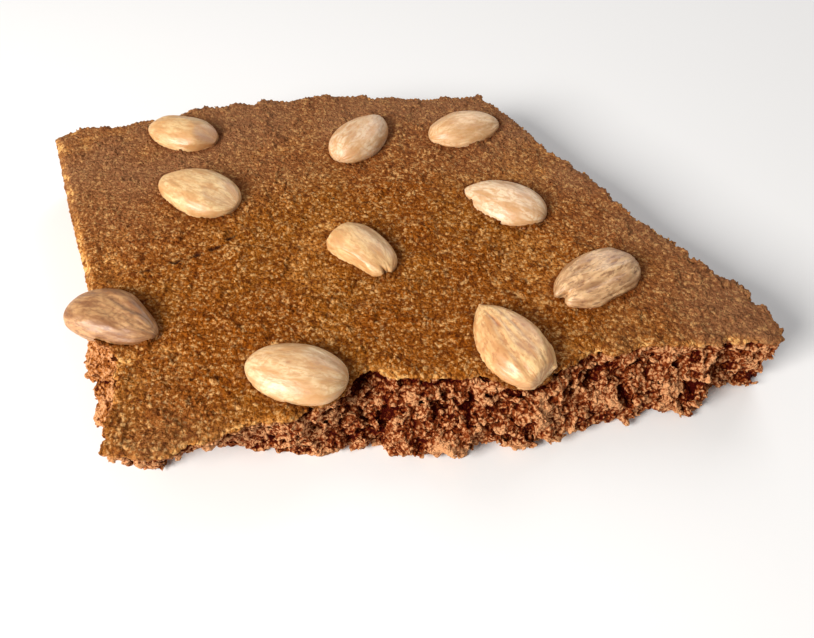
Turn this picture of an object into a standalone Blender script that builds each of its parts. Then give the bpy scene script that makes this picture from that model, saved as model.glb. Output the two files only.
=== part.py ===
"""Broken slab of almond speculaas.

A thick, soft gingerbread slab baked on a tray, strewn with whole blanched almonds and then
broken into rough pieces by hand. The left edge is the slab's own baked edge, rounded over
and smooth. All the others are breaks, where the thin top crust ends in a ragged line and the
crumb below it juts out or falls back.

The slab lies flat on its underside, with the origin at the centre of its footprint and +Z up.
Sizes are written in millimetres and multiplied by MM. Blender's unit is the metre.
"""

import math
from typing import NamedTuple

import bmesh
import bpy
from mathutils import Matrix, Vector, noise
from mathutils.geometry import delaunay_2d_cdt

MM = 0.001

# ---- The slab ----
SLAB_THICKNESS = 19.0
CRUST_WAVE = 0.35
CRUST_WAVE_LENGTH = 26.0
SWELL_HEIGHT = 0.45
SWELL_REACH = 4.0
CRUST_GRID = 7.0
GRID_JITTER = 1.4

# ---- The edge, walked round in columns of rings ----
COLUMN_PITCH = 1.9
EDGE_BANDS = 9
SMOOTHING_REACH = 11.0
RAGGED_EDGE = 0.7
RAGGED_LENGTH = 5.0
BROKEN_SHOULDER = (1.1, 0.25)
BAKED_SHOULDER = (2.3, 1.7)
BASE_TUCK = 1.1
RING_WANDER = 0.45

# ---- Crumb on the broken faces ----
CLUMP_SIZE = 5.6
CLUMP_DEPTH = 3.0
CRAG_SIZE = 13.0
CRAG_DEPTH = 1.5
BAKED_ROUGHNESS = 0.12

# ---- Almonds ----
ALMOND_THICKNESS = 8.8
ALMOND_RISE = 0.2
SOCKET_GAP = 0.3
ALMOND_SIDES = 16
ALMOND_RINGS = 10

UP = Vector((0.0, 0.0, 1.0))


class Corner(NamedTuple):
    """A turn of the top crust's edge, and how far the base stands outside it there."""

    x: float
    y: float
    spread: float
    baked: bool = False


class Almond(NamedTuple):
    """One blanched almond: where it lies, which way its point faces, and its own shape."""

    name: str
    x: float
    y: float
    yaw_deg: float
    length: float
    width: float
    taper: float
    point: float
    bow: float


class Column(NamedTuple):
    """One place on the crust's edge, with the way out of the slab and the kind of edge."""

    place: Vector
    outward: Vector
    spread: float
    baked: float


# The crust's edge, anticlockwise from the back left corner and seen from above.
EDGE = (
    # the slab's own baked edge, down the left side
    Corner(-96.8, 41.6, 0.0, True),
    Corner(-80.5, 4.7, 0.5, True),
    Corner(-70.9, -15.9, 3.0, True),
    # the left side breaks, and its crumb juts out
    Corner(-65.2, -27.3, 7.0),
    Corner(-59.1, -35.9, 9.0),
    Corner(-55.6, -48.0, 7.5),
    Corner(-55.6, -55.0, 0.0),
    Corner(-55.4, -61.5, -8.5),
    # the front break: undercut at first, then crumb standing out in front of the crust
    Corner(-46.3, -63.2, -9.5),
    Corner(-40.5, -62.3, -10.5),
    Corner(-35.1, -59.2, -9.0),
    Corner(-23.5, -54.1, -2.0),
    Corner(-17.3, -54.1, 0.0),
    Corner(-13.0, -51.4, 1.5),
    Corner(-6.2, -48.2, 4.0),
    Corner(-4.9, -43.9, 7.5),
    Corner(-0.9, -41.5, 10.5),
    Corner(4.4, -43.4, 10.5),
    Corner(19.6, -43.6, 10.5),
    Corner(22.9, -41.8, 9.5),
    Corner(28.7, -45.7, 5.5),
    Corner(33.4, -45.9, 5.5),
    Corner(43.6, -39.7, 9.0),
    Corner(48.8, -36.4, 10.0),
    Corner(53.4, -37.0, 8.5),
    Corner(60.8, -34.4, 8.5),
    Corner(75.8, -34.2, 8.0),
    Corner(80.1, -33.0, 2.5),
    Corner(93.0, -33.6, 0.0),
    # round the right tip and up the long right-hand break
    Corner(94.5, -30.0, 0.0),
    Corner(87.5, -17.5, 1.0),
    Corner(77.7, -5.8, 2.0),
    Corner(72.5, 1.3, 3.0),
    Corner(62.5, 13.5, 4.0),
    Corner(57.5, 25.0, 2.0),
    Corner(47.0, 36.5, 3.5),
    Corner(39.0, 50.5, 2.0),
    Corner(29.0, 62.0, 0.5),
    # along the back
    Corner(8.0, 61.0, 1.5),
    Corner(-12.0, 62.5, 2.0),
    Corner(-29.5, 60.4, 1.0),
    Corner(-55.1, 56.3, 1.5),
    Corner(-62.4, 53.2, 2.0),
    Corner(-66.5, 49.7, 2.5),
    Corner(-71.2, 50.7, 1.5),
    Corner(-80.4, 46.7, 1.5),
    Corner(-90.0, 46.0, 0.5),
)

ALMONDS = (
    Almond("almond_back_left", -58.6, 41.3, 163.0, 21.6, 13.5, 0.12, 0.25, 0.0),
    Almond("almond_upper_left", -49.2, 16.2, 150.0, 25.7, 15.9, 0.12, 0.20, 0.3),
    Almond("almond_middle", -4.5, -5.8, 136.0, 21.4, 12.8, 0.05, 0.10, -1.3),
    Almond("almond_left_edge", -60.9, -27.9, -21.0, 23.9, 13.6, 0.20, 0.25, 0.8),
    Almond("almond_front_left", -16.9, -42.6, 168.0, 23.5, 14.9, 0.12, 0.05, 0.3),
    Almond("almond_front_right", 30.0, -34.8, 119.0, 24.7, 14.6, 0.26, 0.30, 0.0),
    Almond("almond_right", 52.6, -14.7, 210.0, 24.0, 15.2, 0.14, 0.10, 0.5),
    Almond("almond_back_middle", -6.7, 39.0, 60.0, 22.5, 14.5, 0.15, 0.22, 0.0),
    Almond("almond_upper_right", 33.0, 12.0, 152.0, 23.5, 14.5, 0.14, 0.20, -0.4),
    Almond("almond_back_right", 24.0, 43.5, 20.0, 22.0, 14.0, 0.16, 0.22, 0.3),
)


def clear_scene() -> None:
    """Remove every object of the startup scene."""
    for old in list(bpy.data.objects):
        bpy.data.objects.remove(old, do_unlink=True)


def new_collection(name: str) -> bpy.types.Collection:
    """Make a collection of that name in the scene."""
    collection = bpy.data.collections.new(name)
    bpy.context.scene.collection.children.link(collection)
    return collection


def new_material(name: str, colour: tuple, roughness: float) -> bpy.types.Material:
    """Make a Principled material with a plain colour and roughness."""
    material = bpy.data.materials.new(name)
    material.use_nodes = True
    shader = material.node_tree.nodes["Principled BSDF"]
    shader.inputs["Base Color"].default_value = (*colour, 1.0)
    shader.inputs["Roughness"].default_value = roughness
    shader.inputs["Metallic"].default_value = 0.0
    return material


def add_object(name, shape, collection, material=None) -> bpy.types.Object:
    """Turn a bmesh, in millimetres, into a named object in metres."""
    shape.transform(Matrix.Scale(MM, 4))
    bmesh.ops.recalc_face_normals(shape, faces=shape.faces)
    mesh = bpy.data.meshes.new(name)
    shape.to_mesh(mesh)
    shape.free()
    if material:
        mesh.materials.append(material)
    thing = bpy.data.objects.new(name, mesh)
    collection.objects.link(thing)
    return thing


def fade(value: float) -> float:
    """Ease from 0 to 1 as value goes from 0 to 1."""
    value = min(max(value, 0.0), 1.0)
    return value * value * (3.0 - 2.0 * value)


def clumps(place: Vector, size: float) -> float:
    """Rounded lumps with creases between them: 1 on a lump's crown, and 0 or less in a crease."""
    nearest, second = noise.voronoi(place / size)[0][:2]
    return min(second - nearest, 0.8) / 0.8 - 0.35 * nearest


def crust_height(x: float, y: float) -> float:
    """Height of the top crust: nearly level, with slow waves and a swelling round each almond."""
    place = Vector((x, y, 0.0)) / CRUST_WAVE_LENGTH
    height = SLAB_THICKNESS + CRUST_WAVE * noise.noise(place)
    for nut in ALMONDS:
        away = math.hypot(x - nut.x, y - nut.y) - nut.width / 2.0
        height += SWELL_HEIGHT * fade(1.0 - away / SWELL_REACH)
    return height


def walk_edge() -> list:
    """Places every COLUMN_PITCH along the crust's edge, with the spread and baked share there."""
    steps = []
    for here, there in zip(EDGE, EDGE[1:] + EDGE[:1]):
        start, end = Vector((here.x, here.y, 0.0)), Vector((there.x, there.y, 0.0))
        count = max(1, round((end - start).length / COLUMN_PITCH))
        for index in range(count):
            share = index / count
            spread = here.spread + (there.spread - here.spread) * share
            baked = here.baked + (there.baked - here.baked) * share
            steps.append((start.lerp(end, share), spread, baked))
    return steps


def edge_columns() -> list:
    """Columns round the slab, each facing out of the smoothed edge and set off it a little."""
    steps = walk_edge()
    reach = round(SMOOTHING_REACH / COLUMN_PITCH)
    columns = []
    for index, (place, spread, baked) in enumerate(steps):
        along = Vector()
        for offset in range(1, reach + 1):
            ahead = steps[(index + offset) % len(steps)][0]
            along += ahead - steps[index - offset][0]
        outward = along.normalized().cross(UP)
        broken = 1.0 - baked
        ragged = noise.noise(place / RAGGED_LENGTH) * RAGGED_EDGE
        columns.append(Column(place + outward * ragged * broken, outward, spread, baked))
    return columns


def side_point(column: Column, band: int) -> Vector:
    """A point of the slab's side, band rings below the crust's edge.

    Args:
        column: Where it stands on the edge.
        band: 0 at the crust's edge and EDGE_BANDS at the base.

    Returns:
        Its place in millimetres.
    """
    depth = band / EDGE_BANDS
    top = crust_height(column.place.x, column.place.y)
    top -= BROKEN_SHOULDER[1] + (BAKED_SHOULDER[1] - BROKEN_SHOULDER[1]) * column.baked
    spot = Vector((column.place.x, column.place.y, top * (1.0 - depth)))
    rough = 1.0 - (1.0 - BAKED_ROUGHNESS) * column.baked
    out = column.spread * fade(depth * 1.25)
    swell = math.sin(math.pi * min(1.0, depth * 1.3))
    out += rough * CLUMP_DEPTH * (clumps(spot, CLUMP_SIZE) - 0.3) * (0.25 + 0.75 * fade(depth * 4.0))
    out += rough * CRAG_DEPTH * noise.noise(spot / CRAG_SIZE) * swell
    out -= BASE_TUCK * fade(depth * 6.0 - 5.0)
    if 0 < band < EDGE_BANDS:
        spot.z += RING_WANDER * rough * noise.noise(spot / CLUMP_SIZE + UP * 7.0)
    return spot + column.outward * out


def shoulder_point(column: Column) -> Vector:
    """The point just inside the crust's edge where the top surface begins to turn down."""
    broken, baked = BROKEN_SHOULDER[0], BAKED_SHOULDER[0]
    inset = broken + (baked - broken) * column.baked
    spot = side_point(column, 0) - column.outward * inset
    spot.z = crust_height(spot.x, spot.y)
    return spot


def inside(x: float, y: float, ring: list, margin: float) -> bool:
    """Whether a place lies in a ring of points and at least margin from it."""
    crossings = 0
    for near, far in zip(ring, ring[1:] + ring[:1]):
        side = far - near
        share = ((x - near.x) * side.x + (y - near.y) * side.y) / side.length_squared
        closest = near + side * min(max(share, 0.0), 1.0)
        if math.hypot(x - closest.x, y - closest.y) < margin:
            return False
        if (near.y > y) != (far.y > y) and x < near.x + (y - near.y) / side.y * side.x:
            crossings += 1
    return crossings % 2 == 1


def grid_places(ring: list, pitch: float) -> list:
    """Places on an uneven grid inside a ring of points."""
    found = []
    rows = int(200.0 / pitch)
    for row in range(-rows // 2, rows // 2):
        for step in range(-rows // 2, rows // 2):
            x, y = (step + 0.5 * (row % 2)) * pitch, row * pitch * math.sqrt(0.75)
            drift = noise.noise_vector(Vector((x, y, 3.0)) / 4.3) * GRID_JITTER
            x, y = x + drift.x, y + drift.y
            if inside(x, y, ring, pitch * 0.45):
                found.append(Vector((x, y, 0.0)))
    return found


def cover(shape: bmesh.types.BMesh, ring: list, pitch: float, height) -> None:
    """Close a ring of vertices with triangles over an uneven grid.

    Args:
        shape: The bmesh that holds the ring.
        ring: Its vertices, in order round the slab.
        pitch: Spacing of the grid inside it, in millimetres.
        height: Function of x and y that gives the height of a grid place.
    """
    flat = [Vector((vertex.co.x, vertex.co.y, 0.0)) for vertex in ring]
    places = flat + grid_places(flat, pitch)
    rim = [(index, (index + 1) % len(ring)) for index in range(len(ring))]
    # Output type 1 keeps the triangles inside the ring only.
    spots, _, faces, origins, _, _ = delaunay_2d_cdt([p.xy for p in places], rim, [], 1, 1e-5)
    vertices = []
    for spot, origin in zip(spots, origins):
        if origin and origin[0] < len(ring):
            vertices.append(ring[origin[0]])
        else:
            vertices.append(shape.verts.new((spot.x, spot.y, height(spot.x, spot.y))))
    for face in faces:
        shape.faces.new([vertices[index] for index in face])


def make_slab(collection, material) -> bpy.types.Object:
    """The slab: a crust, a side of rings that carries the crags of the breaks, and a flat base."""
    shape = bmesh.new()
    columns = edge_columns()
    rings = [[shape.verts.new(shoulder_point(column)) for column in columns]]
    for band in range(EDGE_BANDS + 1):
        rings.append([shape.verts.new(side_point(column, band)) for column in columns])
    for upper, lower in zip(rings, rings[1:]):
        edges = []
        for ring in (upper, lower):
            pairs = zip(ring, ring[1:] + ring[:1])
            edges += [shape.edges.get(pair) or shape.edges.new(pair) for pair in pairs]
        bmesh.ops.bridge_loops(shape, edges=edges)
    cover(shape, rings[0], CRUST_GRID, crust_height)
    cover(shape, rings[-1], 4.0 * CRUST_GRID, lambda x, y: 0.0)
    bmesh.ops.triangulate(shape, faces=shape.faces)
    return add_object("slab", shape, collection, material)


def almond_shape(nut: Almond, grown: float) -> bmesh.types.BMesh:
    """An almond's outer form: an egg, flattened, drawn out to a point and a little bowed.

    Args:
        nut: The almond.
        grown: How far the surface stands outside the almond's own, for its socket.

    Returns:
        A closed bmesh in millimetres, in its place on the slab.
    """
    shape = bmesh.new()
    bmesh.ops.create_uvsphere(shape, u_segments=ALMOND_SIDES, v_segments=ALMOND_RINGS, radius=1.0)
    bmesh.ops.rotate(shape, verts=shape.verts, matrix=Matrix.Rotation(math.pi / 2.0, 3, "Y"))
    half = Vector((nut.length, nut.width, ALMOND_THICKNESS)) / 2.0
    half += Vector((grown, grown, grown))
    for vertex in shape.verts:
        x, y, z = vertex.co
        narrow = (1.0 - nut.taper * x) * (1.0 - nut.point * max(x, 0.0) ** 4)
        bow = nut.bow * (1.0 - x * x)
        vertex.co = (x * half.x, y * narrow * half.y + bow, z * narrow * half.z)
    lift = crust_height(nut.x, nut.y) + ALMOND_RISE
    place = Matrix.Translation((nut.x, nut.y, lift)) @ Matrix.Rotation(math.radians(nut.yaw_deg), 4, "Z")
    shape.transform(place)
    bmesh.ops.triangulate(shape, faces=shape.faces)
    return shape


def cut_sockets(slab, cutters) -> None:
    """Cut the hollow that each almond sits in out of the slab."""
    for nut in ALMONDS:
        cutter = add_object("socket_" + nut.name, almond_shape(nut, SOCKET_GAP), cutters)
        cutter.hide_render = True
        cutter.display_type = "WIRE"
    cut = slab.modifiers.new("sockets", "BOOLEAN")
    cut.operation = "DIFFERENCE"
    cut.operand_type = "COLLECTION"
    cut.collection = cutters
    cut.solver = "EXACT"


def centre_footprint(things) -> None:
    """Move the finished meshes so that the origin is under the middle of the object's box."""
    corners = [vertex.co for thing in things for vertex in thing.data.vertices]
    middle_x = (min(c.x for c in corners) + max(c.x for c in corners)) / 2.0
    middle_y = (min(c.y for c in corners) + max(c.y for c in corners)) / 2.0
    base = min(c.z for c in corners)
    shift = Matrix.Translation((-middle_x, -middle_y, -base))
    for thing in bpy.data.objects:
        if thing.type == "MESH":
            thing.data.transform(shift)


def main() -> None:
    """Build the slab and its almonds."""
    clear_scene()
    parts = new_collection("almond_speculaas")
    cutters = new_collection("cutters")
    crumb = new_material("speculaas", (0.31, 0.135, 0.045), 0.75)
    nut_skin = new_material("blanched_almond", (0.72, 0.49, 0.27), 0.45)
    slab = make_slab(parts, crumb)
    nuts = [add_object(nut.name, almond_shape(nut, 0.0), parts, nut_skin) for nut in ALMONDS]
    cut_sockets(slab, cutters)
    centre_footprint([slab, *nuts])
    for nut in nuts:
        nut.data.shade_smooth()
    slab.data.shade_smooth()
    slab.data.set_sharp_from_angle(angle=math.radians(50.0))


main()
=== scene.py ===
"""Looks of a broken slab of almond speculaas.

The slab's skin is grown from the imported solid: its distance field is roughened where the dough
broke, left nearly smooth where it baked, and turned back into a surface, so that crumb, pores,
ragged crust and undercuts are all real geometry. The almonds are modelled one by one over their
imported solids. Sizes are written in millimetres and multiplied by MM.
"""

import logging
import math
from dataclasses import dataclass, field
from enum import Enum
from functools import reduce
from itertools import product

import bmesh
import bpy
import numpy as np
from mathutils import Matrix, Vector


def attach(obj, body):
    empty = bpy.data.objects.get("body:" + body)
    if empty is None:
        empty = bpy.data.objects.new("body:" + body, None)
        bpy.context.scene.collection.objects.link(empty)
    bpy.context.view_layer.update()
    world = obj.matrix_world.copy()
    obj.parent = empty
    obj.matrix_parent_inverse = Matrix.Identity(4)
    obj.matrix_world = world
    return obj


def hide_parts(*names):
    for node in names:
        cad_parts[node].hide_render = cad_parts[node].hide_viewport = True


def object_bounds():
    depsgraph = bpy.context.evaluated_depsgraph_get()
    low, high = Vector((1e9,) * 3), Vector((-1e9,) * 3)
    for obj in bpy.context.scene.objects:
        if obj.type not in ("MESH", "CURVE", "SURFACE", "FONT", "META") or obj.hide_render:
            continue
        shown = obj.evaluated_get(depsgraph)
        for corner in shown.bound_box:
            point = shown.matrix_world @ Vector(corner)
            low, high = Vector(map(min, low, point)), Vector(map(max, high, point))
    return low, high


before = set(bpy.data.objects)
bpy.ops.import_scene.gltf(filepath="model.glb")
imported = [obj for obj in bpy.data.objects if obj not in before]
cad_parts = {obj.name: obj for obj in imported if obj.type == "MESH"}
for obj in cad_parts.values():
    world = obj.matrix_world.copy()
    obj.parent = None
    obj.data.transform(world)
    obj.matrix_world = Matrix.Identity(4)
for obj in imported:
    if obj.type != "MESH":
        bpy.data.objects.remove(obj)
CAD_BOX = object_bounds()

import openvdb
from mathutils import Matrix, Vector

MM = 0.001
BODY = "root"
FRONT_BREAK_END = -25.0
ALONG = np.array([1.0, 0.0, 0.0])
FLAT = np.array([1.0, 1.0, 0.0])
log = logging.getLogger("speculaas")

Tone = tuple[float, float, float, float]
Socket = bpy.types.NodeSocket
Value = Socket | float | tuple


# ---- Small helpers ----


def tone(red: int, green: int, blue: int) -> Tone:
    """A linear colour with full alpha from screen values between 0 and 255."""
    shares = [value / 255.0 for value in (red, green, blue)]
    return tuple(s / 12.92 if s < 0.04045 else ((s + 0.055) / 1.055) ** 2.4 for s in shares) + (1.0,)


def fade(value: np.ndarray | float) -> np.ndarray | float:
    """Ease from 0 to 1 as value goes from 0 to 1."""
    value = np.clip(value, 0.0, 1.0)
    return value * value * (3.0 - 2.0 * value)


@dataclass(frozen=True)
class Ramp:
    """An eased change from start to end as a value goes from low to high, or down to it."""

    low: float
    high: float
    start: float = 0.0
    end: float = 1.0

    def at(self, value: np.ndarray) -> np.ndarray:
        """What it gives at each value."""
        return self.start + (self.end - self.start) * fade((value - self.low) / (self.high - self.low))


def held_inside(places: np.ndarray, reach: float) -> np.ndarray:
    """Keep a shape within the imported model's box.

    Args:
        places: Places in millimetres.
        reach: How far inside the box the easing starts.

    Returns:
        The places, eased back where they come near the box's sides or its top.
    """
    low, high = (np.array(corner) / MM for corner in CAD_BOX)
    low[2] = -np.inf
    moved = places.copy()
    for gap, way in ((places - (high - reach), -1.0), (low + reach - places, 1.0)):
        gap = np.maximum(gap, 0.0)
        moved += way * np.where(gap < 2.0 * reach, gap * gap / (4.0 * reach), gap - reach)
    return moved


def distance_to_path(spots: np.ndarray, path: tuple) -> tuple[np.ndarray, np.ndarray]:
    """How far flat spots lie from an open path.

    Args:
        spots: Places seen from above, one row each.
        path: The path's corners.

    Returns:
        Each spot's distance to the path, and how far along the path its nearest point is.
    """
    nearest = np.full(len(spots), np.inf, np.float32)
    along = np.zeros(len(spots), np.float32)
    done = 0.0
    for start, end in zip(np.array(path), np.array(path[1:])):
        side = end - start
        length = float(np.hypot(*side))
        share = np.clip((spots - start) @ side / length**2, 0.0, 1.0)
        gap = np.hypot(*(spots - start - share[:, None] * side).T)
        closer = gap < nearest
        nearest = np.where(closer, gap, nearest)
        along = np.where(closer, done + share * length, along)
        done += length
    return nearest, along


def corner_share(share: np.ndarray, corner: tuple) -> np.ndarray:
    """How much one corner of a cell counts at places inside it."""
    return np.prod([share[:, i] if side else 1.0 - share[:, i] for i, side in enumerate(corner)], axis=0)


def mean_around(columns: np.ndarray) -> np.ndarray:
    """The mean of each column's four neighbours."""
    return sum(np.roll(columns, step, axis) for step in (1, -1) for axis in (0, 1)) / 4.0


def unit(vectors: np.ndarray | tuple) -> np.ndarray:
    """Vectors of length 1 with the same directions."""
    vectors = np.asarray(vectors, np.float32)
    return vectors / np.maximum(np.linalg.norm(vectors, axis=-1, keepdims=True), 1e-6)


def add_layers(mesh: bpy.types.Mesh, layers: dict) -> None:
    """Write values for a mesh's points, which its material reads.

    Args:
        mesh: The mesh.
        layers: Values by their layer's name: rows of three for a vector, single ones for a number.
    """
    for name, values in layers.items():
        kind, part = ("FLOAT", "value") if values.ndim == 1 else ("FLOAT_VECTOR", "vector")
        layer = mesh.attributes.new(name, kind, "POINT")
        layer.data.foreach_set(part, values.astype(np.float32).ravel())


def add_piece(name: str, mesh: bpy.types.Mesh, node: str) -> bpy.types.Object:
    """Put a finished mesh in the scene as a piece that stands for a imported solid.

    Args:
        name: The piece's name.
        mesh: Its mesh, with its material.
        node: The CAD node that it replaces.

    Returns:
        The piece.
    """
    piece = bpy.data.objects.new(name, mesh)
    bpy.context.scene.collection.objects.link(piece)
    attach(piece, BODY)
    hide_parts(node)
    return piece


@dataclass(frozen=True)
class Lattice:
    """Seeded noise over cells size millimetres wide, which repeats after 2 ** bits cells."""

    size: float
    seed: int
    bits: int = 6

    def _table(self, columns: int) -> np.ndarray:
        """Random numbers from 0 to 1, so many for each cell of the lattice."""
        return np.random.default_rng(self.seed).random((1 << 3 * self.bits, columns), dtype=np.float32)

    def _row(self, cells: np.ndarray) -> np.ndarray:
        """The table's row for each cell, where the lattice repeats far apart."""
        wrapped = cells & ((1 << self.bits) - 1)
        return (wrapped[:, 0] << 2 * self.bits) | (wrapped[:, 1] << self.bits) | wrapped[:, 2]

    def waves(self, places: np.ndarray) -> np.ndarray:
        """Smooth noise.

        Args:
            places: Where to look, in millimetres.

        Returns:
            A number from -1 to 1 for each place.
        """
        table = self._table(1)[:, 0]
        spots = (places / self.size).astype(np.float32)
        cells = np.floor(spots).astype(np.int32)
        share = fade(spots - cells)
        total = np.zeros(len(spots), np.float32)
        for corner in product((0, 1), repeat=3):
            total += corner_share(share, corner) * table[self._row(cells + np.array(corner, np.int32))]
        return total * 2.0 - 1.0

    def drift(self, places: np.ndarray, reach: float) -> np.ndarray:
        """Places moved about smoothly by up to reach millimetres each way."""
        moves = [Lattice(self.size, self.seed + axis).waves(places) for axis in range(3)]
        return places + reach * np.stack(moves, axis=1)

    def grains(self, places: np.ndarray) -> tuple[np.ndarray, np.ndarray]:
        """Round grains scattered one to a cell.

        Args:
            places: Where to look, in millimetres.

        Returns:
            The distance to the nearest grain's middle, in cells, and that grain's own random number.
        """
        table = self._table(4)
        table[:, :3] = table[:, :3] * 0.8 + 0.1
        spots = (places / self.size).astype(np.float32)
        low = np.floor(spots - 0.5).astype(np.int32)
        nearest = np.full(len(spots), np.inf, np.float32)
        number = np.zeros(len(spots), np.float32)
        for corner in product((0, 1), repeat=3):
            cells = low + np.array(corner, np.int32)
            entry = table[self._row(cells)]
            offset = entry[:, :3] + cells - spots
            gap = np.einsum("ij,ij->i", offset, offset)
            closer = gap < nearest
            nearest = np.where(closer, gap, nearest)
            number = np.where(closer, entry[:, 3], number)
        return np.sqrt(nearest), number


# ---- Materials ----


class Recipe:
    """A material under construction, which adds shader nodes and joins their sockets."""

    def __init__(self, name: str) -> None:
        """Start an empty material.

        Args:
            name: The material's name.
        """
        self.material = bpy.data.materials.new(name)
        self.material.use_nodes = True
        self.tree = self.material.node_tree
        self.tree.nodes.clear()

    def add(self, kind: str, settings: dict | None = None, **inputs: Value) -> bpy.types.Node:
        """Add a shader node.

        Args:
            kind: The node's type, without its ShaderNode prefix.
            settings: Values of the node's own properties.
            **inputs: Sockets by name, with _ for a space, each a value or a socket to link from.

        Returns:
            The node.
        """
        node = self.tree.nodes.new("ShaderNode" + kind)
        for key, value in (settings or {}).items():
            setattr(node, key, value)
        for key, value in inputs.items():
            self.put(node.inputs[key.replace("_", " ")], value)
        return node

    def put(self, socket: Socket, value: Value) -> None:
        """Link a socket to another, or set its own value.

        Args:
            socket: The socket to feed.
            value: The socket to link from, or a plain value.
        """
        if isinstance(value, bpy.types.NodeSocket):
            self.tree.links.new(value, socket)
        else:
            socket.default_value = value

    def attribute(self, name: str, output: str = "Fac") -> Socket:
        """What a mesh attribute says, as a number or, with the output Vector, as a place."""
        return self.add("Attribute", {"attribute_name": name}).outputs[output]

    def math(self, operation: str, *values: Value) -> Socket:
        """One sum on numbers.

        Args:
            operation: The Math node's operation.
            *values: The numbers.

        Returns:
            The result.
        """
        node = self.add("Math", {"operation": operation})
        for socket, value in zip(node.inputs, values):
            self.put(socket, value)
        return node.outputs[0]

    def times(self, first: Value, second: Value) -> Socket:
        """The product of two numbers."""
        return self.math("MULTIPLY", first, second)

    def total(self, *values: Value) -> Socket:
        """The sum of several numbers."""
        return reduce(lambda first, second: self.math("ADD", first, second), values)

    def read(self, ramp: Ramp, value: Value) -> Socket:
        """Read a ramp.

        Args:
            ramp: The ramp.
            value: The number to read it at.

        Returns:
            What it gives there.
        """
        ends = {"From_Min": ramp.low, "From_Max": ramp.high, "To_Min": ramp.start, "To_Max": ramp.end}
        node = self.add("MapRange", {"interpolation_type": "SMOOTHSTEP"}, Value=value, **ends)
        return node.outputs["Result"]

    def noise(self, place: Socket, size: float, detail: float = 2.0, roughness: float = 0.5) -> Socket:
        """Noise about 0.5, whose patches are size millimetres wide."""
        inputs = {"Vector": place, "Scale": 1.0 / (size * MM), "Detail": detail, "Roughness": roughness}
        return self.add("TexNoise", None, **inputs).outputs["Fac"]

    def cells(self, place: Socket, size: float) -> bpy.types.Node:
        """Voronoi cells size millimetres wide: Distance from each one's middle and its own Color."""
        return self.add("TexVoronoi", None, Vector=place, Scale=1.0 / (size * MM))

    def own_shade(self, cells: bpy.types.Node) -> Socket:
        """A number from 0 to 1 that each Voronoi cell has to itself."""
        return self.add("SeparateColor", None, Color=cells.outputs["Color"]).outputs[0]

    def mix(self, share: Value, first: Value, second: Value) -> Socket:
        """Mix two colours.

        Args:
            share: How much of the second there is, from 0 to 1.
            first: The colour where the share is 0.
            second: The colour where it is 1.

        Returns:
            The mixed colour.
        """
        node = self.add("Mix", {"data_type": "RGBA"}, Factor=share)
        colours = [socket for socket in node.inputs if socket.type == "RGBA"]
        for socket, colour in zip(colours, (first, second)):
            self.put(socket, colour)
        return next(socket for socket in node.outputs if socket.type == "RGBA")

    def coat(self, base: Value, *coats: tuple[Value, Value]) -> Socket:
        """A colour under coats, each of which is how much it covers and its own colour."""
        return reduce(lambda below, layer: self.mix(layer[0], below, layer[1]), coats, base)

    def bump(self, height: Socket, depth: float) -> Socket:
        """A normal for relief that is depth millimetres deep."""
        return self.add("Bump", None, Height=height, Distance=depth * MM, Strength=1.0).outputs["Normal"]

    def finish(self, **inputs: Value) -> bpy.types.Material:
        """Close the material with a Principled shader.

        Args:
            **inputs: The shader's sockets by name, with _ for a space.

        Returns:
            The finished material.
        """
        shader = self.add("BsdfPrincipled", None, **inputs)
        output = self.add("OutputMaterial")
        self.tree.links.new(shader.outputs["BSDF"], output.inputs["Surface"])
        return self.material


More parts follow.
